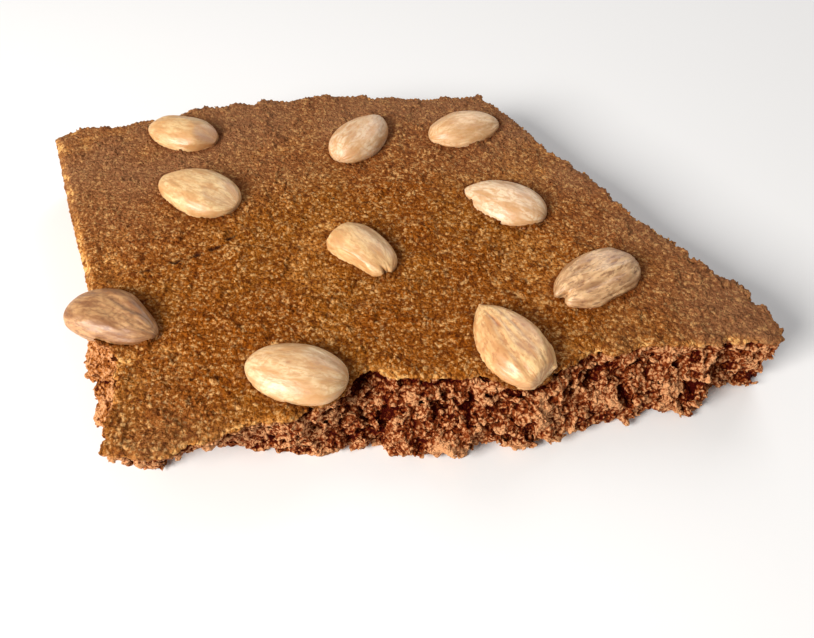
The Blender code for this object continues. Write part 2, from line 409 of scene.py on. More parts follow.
@dataclass(frozen=True)
class SpeculaasFinish:
    """Baked dough: golden brown grainy crust, reddish open crumb and the paler lip between them.

    Fields that end in size are widths of a pattern's patches in millimetres.
    """

    crust_dark: Tone = tone(92, 36, 0)
    crust_mid: Tone = tone(156, 90, 20)
    crust_light: Tone = tone(224, 170, 106)
    crust_warm: Tone = tone(150, 80, 10)
    # greyer colour of the painted sheen towards the slab's ends
    crust_sheen: Tone = tone(150, 100, 64)
    speck: Tone = tone(238, 194, 134)
    # painted shade in the pinholes and cracks
    pinhole_shade: Tone = tone(54, 20, 6)
    lip: Tone = tone(212, 138, 62)
    # painted highlights along the crust's lip
    lip_highlight: Tone = tone(244, 186, 112)
    # the crumb's darkest colour: painted shade in its pores and hollows
    crumb_shaded: Tone = tone(62, 5, 0)
    crumb_mid: Tone = tone(134, 60, 20)
    # the crumb's palest colour: painted light on its tips
    crumb_lit_tip: Tone = tone(230, 166, 114)

    patch_size: float = 26.0
    blotch_size: float = 3.0
    flake_size: float = 1.3
    grain_size: float = 0.95
    sand_size: float = 0.9
    bead_size: float = 0.6
    fine_size: float = 0.6
    dust_size: float = 0.5

    warm_patches: Ramp = Ramp(0.42, 0.6)
    blotches: Ramp = Ramp(0.3, 0.7, -0.035, 0.035)
    dark_grains: Ramp = Ramp(0.57, 0.4, 0.0, 0.9)
    light_grains: Ramp = Ramp(0.59, 0.76, 0.0, 0.95)
    # painted shade in the crevices between the crust's grains
    crevice_shade: Ramp = Ramp(0.52, 0.8, 0.0, 0.6)
    flake_middles: Ramp = Ramp(0.34, 0.12)
    flakes_shown: Ramp = Ramp(0.62, 0.9)
    lip_highlights: Ramp = Ramp(0.4, 0.7, 0.0, 0.8)
    grain_shade: float = 0.16
    flake_share: float = 0.5
    # how much more of the painted sheen is laid over the grain, which flattens it
    sheen_share: float = 0.5
    # how strongly the painted contact shadow round the almonds darkens the crust
    contact_shade_share: float = 0.5

    deepest: float = -1.5
    relief_share: float = 1.1
    dust: Ramp = Ramp(0.3, 0.7, -0.4, 0.4)
    # painted shade between the crumb's grains and beads, painted light on their middles
    grain_light_and_shade: Ramp = Ramp(0.15, 0.75, 0.6, -1.2)
    bead_light_and_shade: Ramp = Ramp(0.15, 0.7, 0.3, -0.6)
    grain_lift: Ramp = Ramp(0.0, 1.0, -0.35, 0.35)
    # from painted shade through the crumb's middle colour to painted light on its tips
    shaded_to_mid: Ramp = Ramp(-2.5, -1.2)
    mid_to_lit_tip: Ramp = Ramp(-1.4, 0.2, 0.0, 0.92)

    grain_bump: float = 0.55
    bead_bump: Ramp = Ramp(0.0, 1.0, 0.0, 0.55)
    bump_depth: float = 0.8
    roughness: Ramp = Ramp(0.0, 1.0, 0.54, 0.85)
    shine: float = 0.06

    def _crust_colour(self, recipe: Recipe, place: Socket, grains: bpy.types.Node) -> Socket:
        """Colour of the crust: slow patches, grains each of their own tone and pale specks, with painted
        shade in the crevices, pinholes and cracks and round the almonds, a painted sheen towards the slab's
        ends and painted highlights along the lip.

        Args:
            recipe: The material under construction.
            place: Where the surface is.
            grains: The cells of the crust's grains.

        Returns:
            The colour.
        """
        painted_sheen, lip = recipe.attribute("painted_sheen"), recipe.attribute("lip")
        own_shade = recipe.own_shade(grains)
        shade = recipe.total(
            recipe.times(own_shade, self.grain_shade),
            recipe.noise(place, self.sand_size, 4.0, 0.75),
            recipe.read(self.blotches, recipe.noise(place, self.blotch_size, 2.0, 0.6)),
        )
        flakes = recipe.cells(recipe.attribute("bent", "Vector"), self.flake_size)
        shown = recipe.read(self.flakes_shown, recipe.own_shade(flakes))
        flake = recipe.times(recipe.read(self.flake_middles, flakes.outputs["Distance"]), shown)
        return recipe.coat(
            self.crust_mid,
            (recipe.read(self.warm_patches, recipe.noise(place, self.patch_size, 1.0)), self.crust_warm),
            # painted sheen: greyer reflected light towards the slab's ends
            (painted_sheen, self.crust_sheen),
            (lip, self.lip),
            (recipe.read(self.dark_grains, shade), self.crust_dark),
            (recipe.read(self.light_grains, shade), self.crust_light),
            # painted shade in the crevices between the grains
            (recipe.read(self.crevice_shade, grains.outputs["Distance"]), self.crust_dark),
            (recipe.times(flake, self.flake_share), self.speck),
            # more painted sheen, laid over the grain
            (recipe.times(painted_sheen, self.sheen_share), self.crust_sheen),
            # painted highlights on grains along the lip
            (recipe.read(self.lip_highlights, recipe.times(lip, own_shade)), self.lip_highlight),
            # painted contact shadow round the almonds
            (recipe.times(recipe.attribute("contact_shade"), self.contact_shade_share), self.crust_dark),
            # painted shade in the pinholes and cracks
            (recipe.attribute("pit"), self.pinhole_shade),
        )

    def _crumb_colour(
        self, recipe: Recipe, place: Socket, grains: bpy.types.Node, beads: bpy.types.Node
    ) -> Socket:
        """Colour of the crumb: painted shade in its pores and hollows and between its grains, painted light
        on their tips, over a tone that differs at random from grain to grain.

        Args:
            recipe: The material under construction.
            place: Where the surface is.
            grains: The cells of the crumb's grains.
            beads: The smaller cells of its beads.

        Returns:
            The colour.
        """
        # painted shade from the relief and the gaps between grains, painted light on the tips, with a tone
        # that differs at random
        relief = recipe.math("MAXIMUM", recipe.attribute("relief"), self.deepest)
        height = recipe.total(
            recipe.times(relief, self.relief_share),
            recipe.read(self.dust, recipe.noise(place, self.dust_size, 3.0, 0.75)),
            recipe.read(self.grain_light_and_shade, grains.outputs["Distance"]),
            recipe.read(self.bead_light_and_shade, beads.outputs["Distance"]),
            recipe.read(self.grain_lift, recipe.own_shade(grains)),
        )
        # the lip colour here is also painted light on the left side's crumb
        middle = recipe.mix(recipe.attribute("lip"), self.crumb_mid, self.lip)
        rise, tips = recipe.read(self.shaded_to_mid, height), recipe.read(self.mid_to_lit_tip, height)
        return recipe.coat(self.crumb_shaded, (rise, middle), (tips, self.crumb_lit_tip))

    def make(self) -> bpy.types.Material:
        """Make the material.

        Returns:
            One material for crust and crumb, which the slab's layers tell apart.
        """
        recipe = Recipe("speculaas")
        place = recipe.add("TexCoord").outputs["Object"]
        crumb = recipe.attribute("crumb")
        bent = recipe.attribute("bent", "Vector")
        grains, beads = recipe.cells(bent, self.grain_size), recipe.cells(bent, self.bead_size)
        crust_colour = self._crust_colour(recipe, place, grains)
        crumb_colour = self._crumb_colour(recipe, place, grains, beads)
        gaps = recipe.total(
            recipe.times(grains.outputs["Distance"], self.grain_bump),
            recipe.times(beads.outputs["Distance"], recipe.read(self.bead_bump, crumb)),
        )
        height = recipe.math("SUBTRACT", recipe.noise(place, self.fine_size, 3.0, 0.65), gaps)
        return recipe.finish(
            Base_Color=recipe.mix(crumb, crust_colour, crumb_colour),
            Roughness=recipe.read(self.roughness, crumb),
            Normal=recipe.bump(height, self.bump_depth),
            Specular_IOR_Level=self.shine,
        )


@dataclass(frozen=True)
class AlmondFinish:
    """Blanched almond: cream with tan streaks and veins along it, waxy and slightly translucent.

    Fields that end in size are widths of a pattern's patches in millimetres.
    """

    name: str
    cream: Tone
    tan: Tone = tone(202, 146, 86)
    vein: Tone = tone(170, 100, 52)
    veining: float = 0.3
    roughness: float = 0.47
    shine: float = 1.0

    streak_size: float = 2.8
    blush_size: float = 7.0
    contour_size: float = 5.0
    vein_size: float = 0.9
    mottle_size: float = 0.8
    ripple_size: float = 1.8
    ripple_depth: float = 0.25
    contours: float = 52.0
    glow: float = 0.12
    glow_radius: tuple = (1.0, 0.55, 0.3)
    glow_depth: float = 1.2
    streaks: Ramp = Ramp(0.42, 0.62, 0.0, 0.75)
    blush: Ramp = Ramp(0.5, 0.7, 0.0, 0.5)
    lines: Ramp = Ramp(0.0, 1.0, 0.0, 0.38)
    mottle: Ramp = Ramp(0.5, 0.36, 0.0, 0.55)

    def make(self) -> bpy.types.Material:
        """Make the material.

        Returns:
            One almond's material.
        """
        recipe = Recipe(self.name)
        along, lie = recipe.attribute("along", "Vector"), recipe.attribute("lie", "Vector")
        veins = Ramp(0.48, 0.34, 0.0, self.veining)
        levels = recipe.times(recipe.noise(lie, self.contour_size, 1.0), self.contours)
        contours = recipe.math("SINE", levels)
        colour = recipe.coat(
            self.cream,
            (recipe.read(self.streaks, recipe.noise(along, self.streak_size, 2.0, 0.55)), self.tan),
            (recipe.read(self.blush, recipe.noise(lie, self.blush_size, 1.0)), self.tan),
            (recipe.read(self.lines, contours), self.tan),
            (recipe.read(veins, recipe.noise(along, self.vein_size, 3.0, 0.65)), self.vein),
            (recipe.read(self.mottle, recipe.noise(lie, self.mottle_size, 3.0, 0.7)), self.tan),
            # real stains, and painted shade on a shaded facet and in folds
            (recipe.attribute("stain_and_shade"), self.vein),
        )
        return recipe.finish(
            Base_Color=colour,
            Roughness=self.roughness,
            Normal=recipe.bump(recipe.noise(along, self.ripple_size, 3.0, 0.55), self.ripple_depth),
            Specular_IOR_Level=self.shine,
            Subsurface_Weight=self.glow,
            Subsurface_Radius=self.glow_radius,
            Subsurface_Scale=self.glow_depth * MM,
        )


# ---- The slab ----


class Region(Enum):
    """The pieces that the slab's skin is cut into."""

    CRUST = "crust"
    UNDERSIDE = "underside"
    FRONT = "break_front"
    RIGHT = "break_right"
    BACK = "break_back"
    LEFT = "break_left"


class Volume:
    """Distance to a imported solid's surface on a grid of voxels, negative inside, in millimetres."""

    def __init__(self, node: str, voxel: float, reach: float) -> None:
        """Measure a node.

        Args:
            node: The CAD node.
            voxel: Width of a voxel.
            reach: How far from the surface distances are known.
        """
        self.voxel = voxel
        self.grid = self._level_set(node, reach)
        low, high = self.grid.evalActiveVoxelBoundingBox()
        self.low = np.array(low) - 1
        self.distance = np.full(tuple(np.array(high) + 2 - self.low), self.grid.background, np.float32)
        self.grid.copyToArray(self.distance, ijk=self._corner())

    def _corner(self) -> tuple[int, int, int]:
        """The grid index of the array's first voxel."""
        return tuple(int(index) for index in self.low)

    def _level_set(self, node: str, reach: float) -> openvdb.FloatGrid:
        """Turn a node's merged mesh into a level set.

        Args:
            node: The CAD node.
            reach: How far from the surface distances are known.

        Returns:
            The level set.
        """
        shape = bmesh.new()
        shape.from_mesh(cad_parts[node].data)
        bmesh.ops.remove_doubles(shape, verts=shape.verts, dist=0.001 * MM)
        points = np.array([vertex.co for vertex in shape.verts], np.float32) / MM
        faces = np.array([[corner.index for corner in face.verts] for face in shape.faces], np.uint32)
        shape.free()
        scale = openvdb.createLinearTransform(voxelSize=self.voxel)
        return openvdb.FloatGrid.createLevelSetFromPolygons(
            points, triangles=faces, transform=scale, halfWidth=reach / self.voxel
        )

    def places(self, chosen: np.ndarray) -> np.ndarray:
        """Centres of the chosen voxels, in millimetres."""
        return ((chosen + self.low) * self.voxel).astype(np.float32)

    def level(self, height: float) -> int:
        """The array's layer of voxels at a height in millimetres."""
        return round(height / self.voxel) - self.low[2]

    def read(self, places: np.ndarray) -> np.ndarray:
        """Read the distance between voxels.

        Args:
            places: Places in millimetres.

        Returns:
            The distance at each, blended between the voxels round it.
        """
        spots = places / self.voxel - self.low
        cells = np.clip(np.floor(spots).astype(np.int32), 0, np.array(self.distance.shape) - 2)
        share = np.clip(spots - cells, 0.0, 1.0)
        total = np.zeros(len(spots), np.float32)
        for corner in product((0, 1), repeat=3):
            total += corner_share(share, corner) * self.distance[tuple((cells + np.array(corner)).T)]
        return total

    def fill(self, filled: np.ndarray, other: "Volume", grown: float) -> None:
        """Add another solid to these distances.

        Args:
            filled: The distances, which it changes.
            other: The other solid.
            grown: How much it is grown, so that it fills its own hollow.
        """
        start = np.maximum(other.low, self.low)
        stop = np.minimum(other.low + other.distance.shape, self.low + filled.shape)
        here = tuple(slice(a, b) for a, b in zip(start - self.low, stop - self.low))
        there = tuple(slice(a, b) for a, b in zip(start - other.low, stop - other.low))
        filled[here] = np.minimum(filled[here], other.distance[there] - grown)

    def surface(self) -> tuple[np.ndarray, np.ndarray]:
        """Find the surface where the distance is 0.

        Returns:
            Its points in millimetres, and its four-sided faces.
        """
        self.grid.copyFromArray(self.distance, ijk=self._corner())
        points, _, quads = self.grid.convertToPolygons(isovalue=0.0, adaptivity=0.0)
        return points, quads.astype(np.int64)


@dataclass(frozen=True)
class Grains:
    """Round grains with gaps between them, level at middle cells from each grain's middle."""

    lattice: Lattice
    depth: float
    middle: float = 0.5

    def sink(self, places: np.ndarray) -> np.ndarray:
        """How far the surface falls back at each place, in millimetres."""
        return self.depth * (self.lattice.grains(places)[0] - self.middle)


@dataclass(frozen=True)
class Crag:
    """A hollow in the front break, or a bulge where its depth is negative, in millimetres."""

    x: float
    z: float
    half_width: float
    half_height: float
    depth: float

    def share(self, places: np.ndarray) -> np.ndarray:
        """Find how much of it there is.

        Args:
            places: Places in millimetres, of which only those on the front break are changed.

        Returns:
            A number from 0 to 1 for each place.
        """
        across = (places[:, 0] - self.x) / self.half_width
        up = (places[:, 2] - self.z) / self.half_height
        return fade(1.1 - np.sqrt(across * across + up * up)) * (places[:, 1] < FRONT_BREAK_END)


@dataclass(frozen=True)
class CrumbRelief:
    """The crumb of a break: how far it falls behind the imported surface, or stands out of it.

    Depths and reaches are in millimetres.
    """

    bend: Lattice = Lattice(2.4, 11)
    bend_reach: float = 0.7
    ledges: Lattice = Lattice(6.5, 21)
    ledge_depth: float = 0.8
    grains: tuple = (
        Grains(Lattice(3.2, 22), 1.8, 0.52),
        Grains(Lattice(1.6, 23), 1.3),
        Grains(Lattice(0.9, 24), 1.05),
    )
    pores: Lattice = Lattice(2.4, 25)
    pore_depth: float = 1.7
    pore_edge: Ramp = Ramp(0.2, 0.5)
    layering: float = 1.5
    swerve: Lattice = Lattice(3.4, 51)
    swerve_reach: float = 1.5
    lift: float = 0.1
    crags: tuple = (
        Crag(-2.6, 15.8, 3.4, 1.4, 2.6),
        Crag(5.3, 11.0, 3.2, 1.3, 2.4),
        Crag(8.8, 14.0, 3.2, 1.6, -0.8),
        Crag(12.1, 17.3, 1.9, 0.9, 2.8),
        Crag(17.1, 16.5, 3.2, 1.4, 3.6),
        Crag(11.4, 4.5, 1.8, 2.0, 2.4),
        Crag(18.4, 5.0, 5.5, 4.0, -1.2),
        Crag(22.2, 11.0, 2.2, 2.4, 2.4),
        Crag(26.5, 8.0, 2.4, 1.2, 2.2),
        Crag(30.8, 5.0, 4.2, 1.6, 3.0),
        Crag(37.8, 15.6, 3.4, 1.4, 3.0),
        Crag(44.0, 3.4, 4.5, 2.0, -0.8),
        Crag(51.5, 17.4, 1.3, 1.0, 2.4),
        Crag(54.4, 16.4, 2.2, 1.8, 3.4),
        Crag(50.6, 11.6, 2.0, 1.6, 2.6),
        Crag(55.5, 8.5, 4.6, 2.8, -1.0),
        Crag(60.5, 13.4, 2.3, 1.1, 2.6),
        Crag(64.5, 7.5, 1.8, 1.5, 2.4),
        Crag(68.5, 10.0, 3.0, 2.6, -0.8),
        Crag(73.8, 8.5, 2.8, 1.7, 2.6),
        Crag(80.0, 10.8, 2.8, 1.5, 2.2),
    )

    def sink(self, places: np.ndarray) -> np.ndarray:
        """Work out the crumb's relief.

        Args:
            places: Places in millimetres.

        Returns:
            How far the surface falls back at each, in millimetres.
        """
        bent = self.bend.drift(places, self.bend_reach)
        layered = places * np.array([1.0, 1.0, self.layering], np.float32)
        sink = self.ledge_depth * self.ledges.waves(layered)
        for grains in self.grains:
            sink += grains.sink(bent)
        sink += self.pore_depth * self.pore_edge.at(self.pores.waves(layered))
        rough = self.swerve.drift(places, self.swerve_reach)
        for crag in self.crags:
            sink += crag.depth * crag.share(rough)
        return sink - self.lift


@dataclass(frozen=True)
class Crack:
    """A dashed crack in the crust, which reaches width millimetres to each side of its path."""

    path: tuple
    width: float = 0.5
    dash: float = 3.4


@dataclass(frozen=True)
class CrustRelief:
    """The crust: slow dents, sandy grains, pinholes and a few dashed cracks, in millimetres."""

    dents: Lattice = Lattice(11.0, 31)
    dent_height: float = 0.18
    ripples: Lattice = Lattice(3.0, 32)
    ripple_height: float = 0.1
    grains: Grains = Grains(Lattice(0.95, 33), 0.36)
    fines: Lattice = Lattice(0.6, 34)
    fine_height: float = 0.06
    holes: Lattice = Lattice(2.3, 35)
    hole_radius: float = 0.07
    hole_share: float = 0.35
    edge_sharpness: float = 1.6
    wobble: Lattice = Lattice(1.6, 36)
    wobble_reach: float = 0.6
    dashes: Lattice = Lattice(1.0, 39)
    cracks: tuple = (
        Crack(((-56.4, -12.8), (-48.6, -9.4), (-41.0, -5.5), (-34.0, 1.2)), 0.6, 2.6),
        Crack(((-38.5, -44.4), (-35.5, -43.6), (-32.8, -44.6)), 0.5, 2.0),
        Crack(((-12.0, 14.0), (-6.0, 11.5), (-1.5, 12.6)), 0.35),
        Crack(((78.0, -9.0), (82.5, -13.5), (84.5, -19.0)), 0.35),
        Crack(((83.0, -7.0), (87.0, -13.0), (88.5, -21.0)), 0.35),
    )

    def pits(self, places: np.ndarray) -> np.ndarray:
        """Find the pinholes and cracks.

        Args:
            places: Places in millimetres.

        Returns:
            How much of a pinhole or crack there is at each, from 0 to 1.
        """
        near, number = self.holes.grains(places)
        radius = self.hole_radius * (1.0 + number)
        pits = np.where(number > self.hole_share, fade(self.edge_sharpness * (1.0 - near / radius)), 0.0)
        flat = self.wobble.drift(places, self.wobble_reach)[:, :2]
        for crack in self.cracks:
            gap, along = distance_to_path(flat, crack.path)
            run = np.stack([along / crack.dash, along * 0.0, along * 0.0], axis=1)
            shown = fade(2.5 * self.dashes.waves(run) + 0.3)
            pits = np.maximum(pits, shown * fade(self.edge_sharpness * (1.0 - gap / crack.width)))
        return pits

    def rise(self, places: np.ndarray) -> np.ndarray:
        """Work out the crust's relief without its pits.

        Args:
            places: Places in millimetres.

        Returns:
            How far the crust stands up at each, in millimetres.
        """
        rise = self.dent_height * self.dents.waves(places) + self.ripple_height * self.ripples.waves(places)
        return rise - self.grains.sink(places) + self.fine_height * self.fines.waves(places)


@dataclass
class Slab:
    """The broken slab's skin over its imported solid, with sizes in millimetres.

    The crumb share of a place says how much of it is broken crumb, and its side depth how far it
    lies inside the slab's sides. While it builds, it keeps its volume of distances, the crust's
    height over each column of voxels, and each voxel's side depth, counted in voxels.
    """

    almonds: tuple
    node: str = "slab"
    voxel: float = 0.3
    quick_voxel: float = 0.6
    reach: float = 4.4
    chunk: int = 500_000
    most_triangles: int = 186_000
    underside_triangles: int = 30_000
    box_easing: float = 0.8
    finish: SpeculaasFinish = SpeculaasFinish()

    crust: CrustRelief = CrustRelief()
    crust_level: float = 19.0
    level_slack: float = 1.0
    under_crust: float = 1.2
    carry_rounds: int = 60
    socket_floor: float = 14.0
    socket_gap: float = 0.6
    almond_reach: float = 1.2
    pit_depth: float = 0.4
    foot_height: float = 0.3
    thickness: Lattice = Lattice(3.2, 43)
    crust_thickness: float = 0.75
    thickness_change: float = 0.3
    crust_fade: float = 0.45

    crumb: CrumbRelief = CrumbRelief()
    stand_out: float = 2.0
    crumb_depth: float = 3.8
    crumb_fade: float = 0.9
    base: Ramp = Ramp(0.0, 1.2, 0.5, 1.0)
    gaps: Lattice = Lattice(4.6, 41)
    gap_depth: float = 2.6
    gap_top: Ramp = Ramp(0.7, 1.1)
    gap_foot: Ramp = Ramp(3.6, 2.2)

    baked_edge: tuple = ((-95.6, 40.8), (-79.3, 3.9), (-69.7, -16.7))
    baked_reach: Ramp = Ramp(5.8, 3.4)
    baked_end: float = -60.0
    baked_calm: float = 0.7
    # the left side: its crumb is less broken, and painted paler as painted light where the key light falls
    left_side_across: Ramp = Ramp(-52.0, -58.0)
    left_side_forward: Ramp = Ramp(-16.0, -21.0)
    left_side_calm: float = 0.25

    rag: Lattice = Lattice(2.8, 42)
    rag_depth: float = 0.7
    rag_grains: Grains = Grains(Lattice(0.95, 33), 0.6, 0.45)
    rag_sink: float = 0.1
    rag_reach: Ramp = Ramp(2.0, 0.8)
    rag_base: Ramp = Ramp(0.0, 0.6)
    bend: Lattice = Lattice(1.2, 46)
    bend_reach: float = 0.45

    lip_reach: float = 0.8
    lip_share: float = 0.9
    lip_drop: float = 0.5
    # the baked rim's paler colour, partly a painted highlight along its rounded edge
    rim_drop: float = 1.6
    rim_colour_and_highlight: float = 0.42
    # painted light: how much of the lip colour the left side's crumb takes
    left_side_light_share: float = 0.4
    # how far the painted contact shadow reaches round the almonds
    contact_shade_reach: float = 0.9
    # the painted sheen grows from this middle towards the slab's ends, and is less at the front left corner
    sheen_middle: tuple = (2.0, -22.0)
    sheen_reach: Ramp = Ramp(34.0, 76.0)
    golden_forward: Ramp = Ramp(30.0, -15.0)
    golden_across: Ramp = Ramp(-30.0, -55.0)
    golden_share: float = 0.75

    underside_level: float = 0.04
    base_level: float = 1.0
    corners_deg: tuple = (-131.0, -19.0, 64.0, 157.0)

    volume: Volume = field(init=False)
    heights: np.ndarray = field(init=False)
    depth: np.ndarray = field(init=False)

    def _crust_heights(self, filled: np.ndarray) -> np.ndarray:
        """Find the crust's top, and carry it on where there is none.

        Args:
            filled: Distances with the almonds' hollows filled.

        Returns:
            Its height over each column of voxels.
        """
        inside = filled < 0.0
        highest = inside.shape[2] - 1 - np.argmax(inside[:, :, ::-1], axis=2)
        tops = (highest + self.volume.low[2] + 0.5) * self.volume.voxel
        found = inside.any(axis=2) & (np.abs(tops - self.crust_level) < self.level_slack)
        heights = np.where(found, tops, self.crust_level)
        for _ in range(self.carry_rounds):
            heights = np.where(found, heights, mean_around(heights))
        return heights

    def _contact_shade(self, filled: np.ndarray) -> np.ndarray:
        """Find where shade is painted on the crust round the almonds, as a contact shadow.

        Args:
            filled: Distances with the almonds' hollows filled.

        Returns:
            How much painted contact shadow each column of voxels gets, from 0 to 1, most next to an almond.
        """
        contact_shade = (filled[:, :, self.volume.level(self.crust_level + self.contact_shade_reach)] < 0.0).astype(np.float32)
        for _ in range(round(2.0 * (self.contact_shade_reach / self.volume.voxel) ** 2)):
            contact_shade = mean_around(contact_shade)
        return np.minimum(2.0 * contact_shade, 1.0)

    def _columns(self, places: np.ndarray) -> tuple[np.ndarray, np.ndarray]:
        """The column of voxels that each place lies in."""
        columns = np.round(places[:, :2] / self.volume.voxel).astype(np.int32) - self.volume.low[:2]
        return tuple(np.clip(columns, 0, np.array(self.volume.distance.shape[:2]) - 1).T)

    def _close_sockets(self, filled: np.ndarray) -> None:
        """Fill the hollows under the almonds up to the crust, wherever dough lies below them.

        Args:
            filled: Distances with the almonds' hollows filled.
        """
        below = self.volume.distance[:, :, self.volume.level(self.socket_floor)] < 0.0
        levels = (np.arange(filled.shape[2]) + self.volume.low[2]) * self.volume.voxel
        closed = np.maximum(filled, levels - self.heights[:, :, None])
        lowered = np.minimum(self.volume.distance, closed)
        self.volume.distance = np.where(below[:, :, None], lowered, self.volume.distance)

    def _side_depth(self, filled: np.ndarray) -> np.ndarray:
        """Measure how far voxels lie inside the slab's sides.

        Args:
            filled: Distances with the almonds' hollows filled.

        Returns:
            Each voxel's side depth, counted in voxels up to the crumb's depth.
        """
        inside = filled < 0.0
        depth = np.zeros(inside.shape, np.uint8)
        for _ in range(round(self.crumb_depth / self.volume.voxel)):
            inner = inside.copy()
            for axis in (0, 1):
                ahead = [slice(None)] * 3
                behind = [slice(None)] * 3
                ahead[axis], behind[axis] = slice(1, None), slice(None, -1)
                inner[tuple(ahead)] &= inside[tuple(behind)]
                inner[tuple(behind)] &= inside[tuple(ahead)]
            inside = inner
            depth += inside
        return depth

    def _shares(self, places: np.ndarray) -> tuple[np.ndarray, np.ndarray]:
        """Find what each place is made of.

        Args:
            places: Places in millimetres.

        Returns:
            How much of it is broken crumb and how much is baked side, each from 0 to 1.
        """
        depth = self.heights[self._columns(places)] - places[:, 2]
        thickness = self.crust_thickness + self.thickness_change * self.thickness.waves(places * FLAT)
        below = fade((depth - thickness) / self.crust_fade)
        gap, _ = distance_to_path(places[:, :2], self.baked_edge)
        baked = self.baked_reach.at(gap) * (places[:, 0] < self.baked_end)
        return below * (1.0 - baked) * self.base.at(places[:, 2]), baked

    def _left_side(self, places: np.ndarray) -> np.ndarray:
        """How much each place belongs to the left-hand side, which is less broken and whose crumb is painted
        paler, as painted light where the key light falls.
        """
        return self.left_side_across.at(places[:, 0]) * self.left_side_forward.at(places[:, 1])

    def _undercut(self, places: np.ndarray) -> np.ndarray:
        """Work out the hollows just under the crust.

        Args:
            places: Places in millimetres.

        Returns:
            How far the crumb falls back at each, in millimetres.
        """
        depth = self.crust_level - places[:, 2]
        shown = fade(self.gaps.waves(places) * 1.8 + 0.25)
        return self.gap_depth * self.gap_top.at(depth) * self.gap_foot.at(depth) * shown

    def _sink(
        self, places: np.ndarray, near_side: np.ndarray, crumb: np.ndarray, baked: np.ndarray
    ) -> np.ndarray:
        """Work out how the dough is broken.

        Args:
            places: Places in millimetres.
            near_side: Their side depth.
            crumb: Their crumb share.
            baked: How much of each is baked side.

        Returns:
            How far the surface falls back at each, in millimetres.
        """
        calm = 1.0 - self.left_side_calm * self._left_side(places)
        crumb = crumb * fade((self.crumb_depth - near_side) / self.crumb_fade) * calm
        sink = np.zeros(len(places), np.float32)
        broken = crumb > 0.01
        spots = places[broken]
        sink[broken] = crumb[broken] * (self.crumb.sink(spots) + self._undercut(spots))
        ragged = (1.0 - crumb) * (1.0 - self.baked_calm * baked)
        ragged *= self.rag_reach.at(near_side) * self.rag_base.at(places[:, 2])
        rag = self.rag_depth * self.rag.waves(places) + self.rag_grains.sink(places)
        return sink + ragged * (rag + self.rag_sink)

    def _crumble(self) -> None:
        """Roughen the volume where the dough is broken."""
        near = (self.volume.distance < self.stand_out) & (self.volume.distance > 0.2 - self.reach)
        chosen = np.argwhere(near & (self.depth < round(self.crumb_depth / self.volume.voxel)))
        for start in range(0, len(chosen), self.chunk):
            cells = chosen[start : start + self.chunk]
            places = self.volume.places(cells)
            near_side = self.depth[tuple(cells.T)] * self.volume.voxel
            shares = self._shares(places)
            self.volume.distance[tuple(cells.T)] += self._sink(places, near_side, *shares)

    def _largest_part(self, count: int, quads: np.ndarray) -> np.ndarray:
        """Leave out crumbs in the air and sealed holes.

        Args:
            count: How many points the surface has.
            quads: Its faces.

        Returns:
            The faces of its biggest joined part.
        """
        label = np.arange(count)
        sides = np.concatenate([quads[:, [0, 1]], quads[:, [1, 2]], quads[:, [2, 3]]])
        while True:
            lowest = label[sides].min(axis=1)
            before = label.copy()
            np.minimum.at(label, sides[:, 0], lowest)
            np.minimum.at(label, sides[:, 1], lowest)
            label = label[label]
            if np.array_equal(before, label):
                break
        owner = label[quads[:, 0]]
        return quads[owner == np.bincount(owner).argmax()]

    def _outward(self, points: np.ndarray, quads: np.ndarray) -> np.ndarray:
        """Turn the skin's faces outwards.

        Args:
            points: The skin's points.
            quads: Its faces.

        Returns:
            The faces, all turned over if they pointed inwards.
        """
        corners = points[quads]
        outward = np.cross(corners[:, 1] - corners[:, 0], corners[:, 2] - corners[:, 0])
        return quads[:, ::-1] if np.einsum("ij,ij->", corners.mean(axis=1), outward) < 0.0 else quads

    def _normals(self, points: np.ndarray, quads: np.ndarray) -> np.ndarray:
        """Find the skin's normals.

        Args:
            points: The skin's points.
            quads: Its faces.

        Returns:
            A vector of length 1 for each point.
        """
        skin = bpy.data.meshes.new("skin")
        skin.from_pydata(points, [], quads)
        normals = np.zeros(len(points) * 3, np.float32)
        skin.vertex_normals.foreach_get("vector", normals)
        bpy.data.meshes.remove(skin)
        return normals.reshape(-1, 3)

    def _regions(self, points: np.ndarray, quads: np.ndarray, crumb: np.ndarray) -> dict[Region, np.ndarray]:
        """Share the skin out among the pieces.

        Args:
            points: The skin's points.
            quads: Its faces.
            crumb: Each point's crumb share.

        Returns:
            Which faces belong to each piece.
        """
        middle = points[quads].mean(axis=1)
        angle = np.degrees(np.arctan2(middle[:, 1], middle[:, 0]))
        under = middle[:, 2] < self.underside_level
        broken = (crumb[quads].mean(axis=1) > 0.5) | (middle[:, 2] < self.base_level)
        side = ~under & broken
        front_left, front_right, back_right, back_left = self.corners_deg
        return {
            Region.UNDERSIDE: under,
            Region.CRUST: ~under & ~broken,
            Region.FRONT: side & (angle > front_left) & (angle <= front_right),
            Region.RIGHT: side & (angle > front_right) & (angle <= back_right),
            Region.BACK: side & (angle > back_right) & (angle <= back_left),
            Region.LEFT: side & ((angle > back_left) | (angle <= front_left)),
        }

